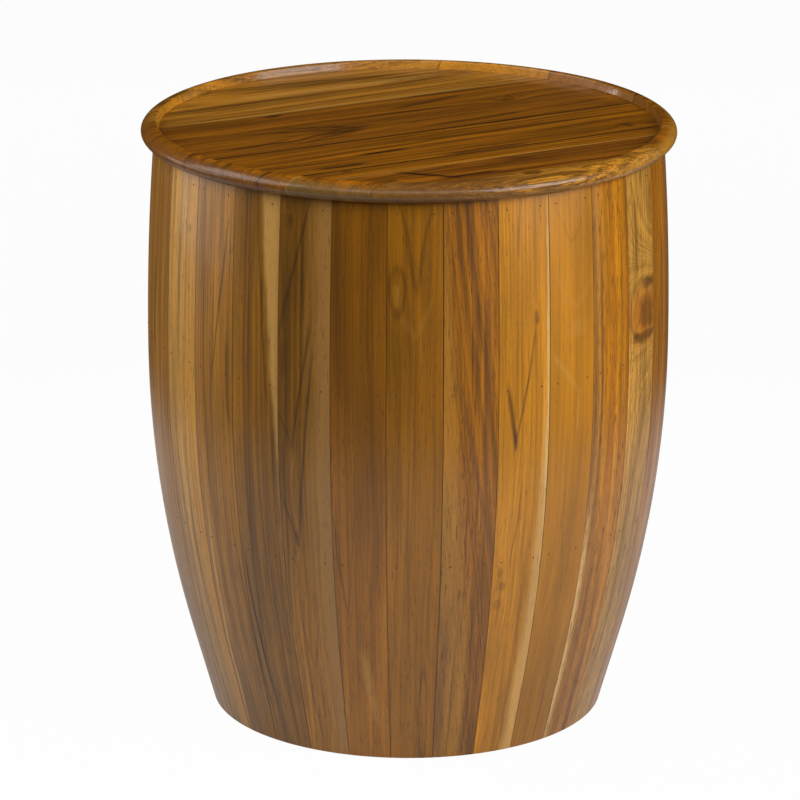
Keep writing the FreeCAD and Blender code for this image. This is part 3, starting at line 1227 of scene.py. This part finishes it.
SEEN_STAVES: dict[int, Plank] = {
    25: Plank(Tone.BROWN, 1.8, 45.0, -40.0, 0.0, 0.02, 3.0, foot=0.64, marks=(
        Vein(-12.0, 365.0, 100.0, 6.0, 0.5), Vein(8.0, 300.0, 380.0, 4.0, 0.3, shade=Shade.AMBER))),
    26: Plank(Tone.PALE, 1.06, -40.0, -50.0, 0.01, 0.01, 3.4, contrast=0.9, foot=0.55, flecks=0.6, marks=(
        Knot(12.0, 448.0, 2.6, 5.0), Vein(-9.0, 240.0, 420.0, 4.0, 0.45, shade=Shade.PLUM),
        Sapwood(7.0, 0.45, soft=3.0, shade=Shade.HONEY),
        Vein(3.0, 180.0, 340.0, 3.0, 0.5, shade=Shade.PLUM),
        Vein(-3.0, 110.0, 260.0, 4.0, 0.5, shade=Shade.GOLD))),
    27: Plank(Tone.BROWN, 1.85, -75.0, -30.0, 0.02, 0.01, 3.6, contrast=0.9, foot=0.62, marks=(
        Sapwood(-14.0, 0.4, side=-1.0, soft=8.0, shade=Shade.TAWNY),
        Vein(7.0, 390.0, 190.0, 1.8, 0.7, 0.13), Vein(18.0, 330.0, 100.0, 4.0, 0.6),
        Vein(-3.0, 280.0, 380.0, 2.0, 0.5, 0.03, shade=Shade.PLUM),
        Vein(9.0, 130.0, 280.0, 3.0, 0.45, shade=Shade.PLUM),
        Vein(-16.0, 120.0, 260.0, 2.0, 0.5, shade=Shade.SAP),
        Vein(2.0, 200.0, 380.0, 3.0, 0.35, shade=Shade.GOLD))),
    28: Plank(Tone.BROWN, 1.12, -70.0, -30.0, 0.0, 0.01, 3.0, contrast=0.9, foot=0.92, marks=(
        Sapwood(41.4, 0.75, slope=-0.08, soft=5.0, shade=Shade.PALE),
        Sapwood(18.0, 0.4, soft=3.0, shade=Shade.TAWNY), Vein(7.0, 400.0, 210.0, 1.6, 0.7, -0.07),
        Vein(-5.0, 300.0, 420.0, 2.4, 0.45, shade=Shade.PLUM),
        Vein(-8.0, 380.0, 260.0, 2.0, 0.3, shade=Shade.AMBER),
        Vein(8.0, 200.0, 300.0, 2.0, 0.45, shade=Shade.PLUM),
        Vein(-14.5, 110.0, 190.0, 1.8, 0.95, -0.075, 2.0, Shade.BLACK),
        Vein(-17.5, 60.0, 150.0, 1.0, 0.9, -0.07, 2.0, Shade.BLACK))),
    29: Plank(Tone.BROWN, 0.94, 40.0, -50.0, 0.02, 0.01, 3.0, contrast=0.8, foot=1.75, marks=(
        Sapwood(-2.0, 0.3, soft=8.0, shade=Shade.TAWNY), Sapwood(9.0, 0.6, soft=5.0, shade=Shade.TAWNY),
        Vein(-9.0, 437.0, 160.0, 2.4, 0.75, 0.24), Knot(-14.0, 474.0, 3.0, 5.0, 0.6),
        Vein(-2.0, 340.0, 140.0, 2.0, 0.7, 0.16, 2.0), Vein(-17.0, 300.0, 46.0, 2.2, 0.5, -0.5, 2.0),
        Knot(-10.5, 291.0, 3.0, 12.0, 0.4), Vein(0.0, 282.0, 210.0, 2.0, 0.8, 0.09, 2.0),
        Vein(-14.5, 220.0, 60.0, 1.8, 0.65, -0.33, 2.0), Knot(-9.0, 204.0, 2.6, 10.0, 0.5),
        Vein(-18.0, 358.0, 40.0, 5.0, 0.5),
        Chevron(-3.0, 85.0, 3.0, 10.0, 7.0, 0.55, 1.3, shade=Shade.PLUM),
        Chevron(-1.0, 6.0, 3.0, 10.0, 7.0, 0.55, 1.3, shade=Shade.PLUM))),
    30: Plank(Tone.GOLDEN, 0.43, 60.0, -40.0, 0.0, 0.01, 2.6, contrast=0.5, threads=0.3, warmth=0.92,
              foot=1.62, marks=(
        Vein(-18.0, 190.0, 100.0, 1.2, 0.6, -0.1), Chevron(-11.5, 135.0, 9.0, 9.0, 12.0, 0.7, 1.15),
        Vein(4.0, 70.0, 90.0, 6.0, 0.3, -0.12, shade=Shade.PALE), Vein(-15.0, 420.0, 200.0, 7.0, 0.3))),
    1: Plank(Tone.GOLDEN, 0.55, 50.0, -40.0, 0.0, 0.01, 3.2, contrast=0.5, threads=0.3, warmth=0.96,
             foot=1.08, marks=(
        Knot(-14.0, 419.0, 3.2, 12.0, 0.14, Shade.PALE), Eye(-14.0, 421.0, 7.0, 19.0, 0.6, 0.38),
        Chevron(1.0, 429.0, 3.4, 18.0, 16.0, 0.5, 1.15),
        Chevron(0.0, 388.0, 0.7, 20.0, 9.0, 0.08, shade=Shade.PALE), Joint(1.0, 300.0, 0.8, 0.55),
        Eye(9.0, 42.0, 3.4, 44.0, 0.6, 0.3))),
    2: Plank(Tone.REDDISH, 1.08, -60.0, -50.0, 0.11, 0.01, 2.8, contrast=1.0, foot=0.7, flecks=0.7, marks=(
        Sapwood(11.2, 0.45, -0.058, -1.0, 10.0, Shade.GOLD),
        Vein(6.0, 265.0, 200.0, 4.0, 0.6, -0.2, shade=Shade.PLUM),
        Vein(14.0, 330.0, 260.0, 6.0, 0.5, shade=Shade.PLUM),
        Vein(3.0, 420.0, 200.0, 4.0, 0.4, -0.03, shade=Shade.PLUM),
        Vein(-15.0, 70.0, 200.0, 6.0, 0.6, shade=Shade.PLUM), Vein(14.0, 15.0, 70.0, 5.0, 0.6, 0.05),
        Vein(2.0, 90.0, 200.0, 5.0, 0.3, shade=Shade.GOLD), Vein(-6.0, 60.0, 160.0, 1.4, 0.5),
        Joint(-1.0, 100.0, 0.8, 0.45))),
    3: Plank(Tone.GOLDEN, 1.0, 55.0, -45.0, 0.0, 0.01, 3.0, contrast=0.55, threads=0.4, foot=0.8, marks=(
        Vein(-4.0, 478.0, 80.0, 2.0, 0.7, 0.03, shade=Shade.PLUM), Knot(11.0, 394.0, 2.6, 7.0, 0.6),
        Vein(-11.0, 312.0, 70.0, 3.0, 0.75, -0.15, 2.0), Knot(-8.0, 293.0, 2.4, 10.0, 0.6),
        Vein(-1.0, 322.0, 90.0, 1.3, 0.6, 0.2, 2.0), Vein(5.0, 355.0, 90.0, 1.2, 0.6, 0.146),
        Vein(-4.0, 210.0, 100.0, 1.4, 0.45, 0.1), Sapwood(2.9, 0.4, 0.04, soft=8.0),
        Sapwood(20.0, 0.5, soft=2.0), Knot(-15.0, 176.0, 3.0, 5.0, 0.35),
        Knot(-12.0, 163.0, 3.6, 4.0, 0.35), Knot(-14.0, 146.0, 3.0, 6.0, 0.3),
        Vein(-14.0, 150.0, 70.0, 2.0, 0.35))),
    4: Plank(Tone.GOLDEN, 0.86, 60.0, -70.0, 0.0, 0.01, 3.6, contrast=0.35, threads=0.1, foot=0.74,
             flecks=0.1, marks=(
        Chevron(0.0, 451.0, 0.7, 20.0, 4.0, 0.2),
        Chevron(2.0, 399.0, 0.4, 22.0, 6.0, 0.14, shade=Shade.PALE),
        Vein(4.0, 379.0, 20.0, 16.0, 0.12, shade=Shade.PALE),
        Vein(-8.0, 344.0, 50.0, 5.0, 0.18, -0.75, 2.0, Shade.PALE),
        Vein(6.0, 308.0, 46.0, 1.6, 0.3, 0.0, 2.0, Shade.PALE),
        Vein(14.0, 250.0, 200.0, 4.0, 0.3, shade=Shade.AMBER), Joint(-1.0, 150.0, 0.8, 0.4),
        Chevron(4.0, 150.0, 6.0, 8.0, 7.0, 0.4, 1.15), Vein(6.0, 30.0, 60.0, 2.0, 0.4))),
    5: Plank(Tone.GOLDEN, 0.94, -45.0, -40.0, 0.0, 0.01, 3.0, contrast=0.8, threads=0.9, warmth=0.94,
             foot=0.66, flecks=1.0, marks=(
        Sapwood(-8.0, 0.35, 0.0, -1.0, 6.0, Shade.TAWNY), Vein(-13.0, 300.0, 380.0, 3.0, 0.55),
        Vein(1.0, 320.0, 360.0, 5.0, 0.55, shade=Shade.AMBER), Vein(12.0, 320.0, 320.0, 2.0, 0.55),
        Vein(19.0, 320.0, 320.0, 4.0, 0.5, shade=Shade.AMBER),
        Vein(-19.0, 110.0, 300.0, 6.0, 0.7, -0.02, 2.0, Shade.SAP),
        Vein(-6.0, 110.0, 280.0, 5.0, 0.65, -0.02, shade=Shade.PLUM),
        Vein(-20.5, 330.0, 400.0, 3.0, 0.6, shade=Shade.PLUM))),
    6: Plank(Tone.PALE, 0.88, 30.0, -55.0, 0.0, 0.01, 3.4, contrast=0.9, threads=0.9, foot=0.86,
             flecks=1.0, marks=(
        Knot(2.0, 374.0, 30.0, 31.0, 0.85, Shade.AMBER), Knot(8.0, 374.0, 17.0, 19.0, 0.75),
        Knot(11.0, 396.0, 16.0, 7.0, 0.9), Knot(5.0, 352.0, 24.0, 4.5, 0.8),
        Knot(-10.0, 355.0, 7.0, 3.0, 0.7), Knot(17.0, 362.0, 6.0, 7.0, 0.5),
        Eye(4.0, 374.0, 25.0, 27.0, 0.5, 0.16), Vein(-10.0, 440.0, 90.0, 4.0, 0.5),
        Vein(-10.0, 250.0, 260.0, 4.0, 0.3), Chevron(0.0, 310.0, 0.7, 18.0, 4.0, 0.3),
        Vein(10.0, 140.0, 280.0, 5.0, 0.4, shade=Shade.PLUM))),
    7: Plank(Tone.GOLDEN, 0.74, 40.0, -45.0, 0.0, 0.01, 3.0, warmth=0.9, foot=0.82, marks=(
        Vein(4.0, 380.0, 140.0, 5.0, 0.5), Vein(-8.0, 300.0, 180.0, 4.0, 0.4))),
}


BOARDS: dict[int, Plank] = {
    1: Plank(Tone.TAN, 1.25, -40.0, -60.0, 0.05, 0.03, 3.0, wander=12.0, contrast=1.4, threads=0.8,
             warmth=0.95, ends=0.5, dip=1.0, inner_wall_painted_light=Shade.GOLD),
    2: Plank(Tone.TAN, 1.35, 26.0, -30.0, 0.02, 0.03, 3.4, wander=12.0, contrast=1.5, threads=0.8,
             warmth=0.95, ends=0.75, dip=1.0, inner_wall_painted_light=Shade.HONEY, marks=(
        Vein(22.0, 10.0, 260.0, 9.0, 0.4, shade=Shade.PALE), Vein(10.0, 0.0, 340.0, 2.4, 0.65),
        Vein(-18.0, 0.0, 340.0, 2.4, 0.65, 0.03), Vein(-34.0, 0.0, 400.0, 4.0, 0.4, shade=Shade.PALE))),
    3: Plank(Tone.BROWN, 1.18, -28.0, -20.0, 0.0, 0.05, 3.6, wander=14.0, contrast=1.3, threads=0.8,
             warmth=0.82, ends=0.8, dip=1.0, inner_wall_painted_light=Shade.RUST, marks=(
        Chevron(-13.0, -28.0, -0.5, 36.0, 10.0, 0.5), Chevron(-15.0, -43.0, -0.6, 34.0, 18.0, 1.0),
        Chevron(-16.0, -61.0, -1.0, 28.0, 16.0, 1.0), Chevron(-18.0, -100.0, -1.2, 24.0, 11.0, 0.4),
        Knot(51.0, -85.0, 4.0, 9.0, 0.8), Vein(-31.0, -141.0, 80.0, 6.0, 0.85),
        Vein(34.0, 57.0, 100.0, 6.0, 0.8, 0.2), Knot(7.0, 120.0, 7.0, 12.0, 0.85),
        Vein(-37.0, 64.0, 130.0, 5.0, 0.85, 0.04), Vein(40.0, -60.0, 320.0, 12.0, 0.35),
        Joint(-1.0, -400.0, 3.0, 0.9), Joint(1.0, -400.0, 2.0, 0.5))),
    4: Plank(Tone.GOLDEN, 0.55, 70.0, -60.0, 0.0, 0.02, 2.6, wander=14.0, contrast=1.4, threads=0.9,
             warmth=0.86, ends=0.85, dip=1.0, end_shade=Shade.PLUM, marks=(
        Vein(-3.0, -62.0, 60.0, 5.0, 0.95, shade=Shade.BLACK),
        Vein(-28.0, -115.0, 60.0, 5.0, 0.95, shade=Shade.BLACK), Vein(-35.0, 16.0, 110.0, 6.0, 0.85),
        Vein(16.0, 60.0, 220.0, 4.0, 0.55), Knot(-21.0, 163.0, 6.0, 9.0, 0.8),
        Vein(24.0, -20.0, 180.0, 4.0, 0.5), Joint(-1.0, -400.0, 3.4, 0.95), Joint(1.0, -400.0, 2.0, 0.8))),
    5: Plank(Tone.GOLDEN, 0.58, -60.0, -50.0, 0.0, 0.02, 2.8, wander=10.0, contrast=1.4, threads=0.9,
             warmth=0.88, ends=0.8, dip=1.0, end_shade=Shade.PLUM, marks=(
        Vein(8.0, 60.0, 260.0, 2.0, 0.75), Knot(8.0, -120.0, 3.0, 6.0, 0.8),
        Joint(-1.0, -400.0, 1.6, 0.75, Shade.PALE))),
    6: Plank(Tone.REDDISH, 0.92, 20.0, -25.0, 0.02, 0.04, 3.0, wander=10.0, contrast=1.3, threads=0.8,
             warmth=0.92, ends=0.9, end_shade=Shade.GREY, dip=1.0, marks=(
        Vein(4.0, -68.0, 50.0, 7.0, 0.95, -1.0, shade=Shade.BLACK),
        Vein(-11.0, -36.0, 70.0, 5.0, 0.95, shade=Shade.BLACK), Vein(-18.0, 40.0, 180.0, 4.0, 0.6),
        Knot(2.0, -105.0, 4.0, 9.0, 0.8), Joint(1.0, -400.0, 1.0, 0.6, Shade.PALE))),
    # Board 7's wide plum Vein darkens the left half of the front rim: painted shade, broken by the wood's
    # streaks.
    7: Plank(Tone.TAN, 1.45, 10.0, -30.0, 0.0, 0.03, 3.0, contrast=2.0, threads=1.0, ends=0.75, flecks=1.3,
             end_shade=Shade.SAND, right_end_painted_light=Shade.TAWNY, inner_wall_painted_light=Shade.RUST, dip=1.0, marks=(
        Knot(17.0, 9.0, 5.0, 9.0, 0.8), Vein(0.0, -100.0, 220.0, 70.0, 0.9, shade=Shade.PLUM))),
}


@dataclass
class Studio:
    """The floor, the soft lights and the camera."""

    camera_place: Colour = (0.0, -3.816, 1.453)
    pitch: float = 17.32
    yaw: float = 0.101
    roll: float = 0.2
    lens: float = 210.4
    sensor: float = 36.0
    far_clip: float = 100.0
    aim: Colour = (0.0, 0.0, 0.30)
    floor_half: float = 20.0
    pool_edge: float = 1.10
    pool_heart: float = 0.65
    floor_white: float = 0.975
    floor_gloss: float = 0.15
    world_gloss: float = 0.005
    world_dim: float = 0.008

    def floor(self) -> None:
        """Lays the floor: white to the camera, pale near the table to reflections, shaded under it."""
        sheet = Sheet("studio_floor")
        path = sheet.node("ShaderNodeLightPath")
        seen = path.out("Is Camera Ray")
        glossy = path.out("Is Glossy Ray")
        through = path.out("Is Transmission Ray")
        world = sheet.node("ShaderNodeTexCoord", None, None, "Object")
        away = sheet.node("ShaderNodeVectorMath", {"operation": "LENGTH"}, {0: world}, "Value")
        pool = sheet.step(away, self.pool_edge, self.pool_heart)
        bright = sheet.limit(seen + glossy * pool * self.floor_gloss + through)
        white = sheet.node("ShaderNodeEmission", None, {"Color": (1.0, 1.0, 1.0, 1.0), "Strength": 1.0})
        paper = sheet.mix(pool, (0.06, 0.06, 0.06), (0.55, 0.55, 0.55))
        matt = sheet.node("ShaderNodeBsdfDiffuse", None, {"Color": paper})
        blend = sheet.node("ShaderNodeMixShader", None, {0: bright * self.floor_white, 1: matt, 2: white})
        sheet.close(blend)
        mesh = bmesh.new()
        bmesh.ops.create_grid(mesh, x_segments=4, y_segments=4, size=self.floor_half)
        data = bpy.data.meshes.new("studio_floor")
        mesh.to_mesh(data)
        mesh.free()
        data.materials.append(sheet.block)
        floor = bpy.data.objects.new("studio_floor", data)
        bpy.context.scene.collection.objects.link(floor)

    def lamp(self, name: str, place: Colour, size: tuple[float, float], power: float,
             gloss: bool = True) -> None:
        """Hangs a softbox that faces the table.

        Args:
            name: the lamp's name.
            place: where it hangs.
            size: its width and height.
            power: in watts.
            gloss: whether the lacquer mirrors it.
        """
        data = bpy.data.lights.new(name, "AREA")
        data.shape = "RECTANGLE"
        data.size, data.size_y = size
        data.energy = power
        lamp = bpy.data.objects.new(name, data)
        lamp.location = place
        lamp.visible_glossy = gloss
        aim = Vector(self.aim) - Vector(place)
        lamp.rotation_euler = aim.to_track_quat("-Z", "Y").to_euler()
        bpy.context.scene.collection.objects.link(lamp)

    def world(self) -> None:
        """Sets the world: white to the camera and through glass, dim to the rest, as a dark studio is."""
        sheet = Sheet("studio", world=True)
        path = sheet.node("ShaderNodeLightPath")
        glossy = path.out("Is Glossy Ray") * self.world_gloss
        bright = sheet.limit(path.out("Is Camera Ray") + path.out("Is Transmission Ray") + glossy)
        plain = (1.0, 1.0, 1.0, 1.0)
        dim = sheet.node("ShaderNodeBackground", None, {"Color": plain, "Strength": self.world_dim})
        white = sheet.node("ShaderNodeBackground", None, {"Color": plain, "Strength": 1.0})
        sheet.close(sheet.node("ShaderNodeMixShader", None, {0: bright, 1: dim, 2: white}))
        bpy.context.scene.world = sheet.block

    def camera(self) -> None:
        """Sets up the camera where the photograph was taken from."""
        data = bpy.data.cameras.new("camera")
        data.sensor_width = self.sensor
        data.lens = self.lens
        data.clip_end = self.far_clip
        camera = bpy.data.objects.new("camera", data)
        camera.location = self.camera_place
        swing = Matrix.Rotation(math.radians(self.yaw), 4, "Z")
        tilt = swing @ Matrix.Rotation(math.radians(90.0 - self.pitch), 4, "X")
        camera.rotation_euler = (tilt @ Matrix.Rotation(math.radians(self.roll), 4, "Z")).to_euler()
        bpy.context.scene.collection.objects.link(camera)
        bpy.context.scene.camera = camera

    def build(self) -> None:
        """Sets up everything that isn't the table."""
        bpy.context.scene.view_settings.view_transform = "Standard"
        self.floor()
        self.world()
        self.lamp("left_softbox", (-1.7, -0.3, 1.6), (1.8, 1.4), 31.0)
        self.lamp("left_strip", (-1.87, 0.25, 0.57), (1.3, 0.06), 4.0)
        self.lamp("low_left_panel", (-1.87, 0.25, 0.22), (1.3, 0.36), 2.0)
        self.lamp("right_softbox", (1.85, -1.25, 1.5), (2.0, 1.6), 76.0)
        self.lamp("low_right_panel", (2.67, -1.36, 0.16), (2.0, 0.32), 2.8)
        self.lamp("front_fill", (-0.2, -2.0, 2.3), (2.4, 1.6), 26.0)
        self.lamp("low_back_panel", (0.0, 2.3, 0.33), (1.6, 0.32), 18.0, gloss=False)
        self.camera()


def main() -> None:
    """Builds the table's looks in order."""
    logging.basicConfig(level=logging.INFO, format="%(message)s")
    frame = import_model()
    drum = StaveDrum()
    drum.build(frame)
    TrayTop().build(frame)
    BradRows().build(frame, drum)
    InnerFrame().build(frame)
    Studio().build()


if __name__ == "__main__":
    main()
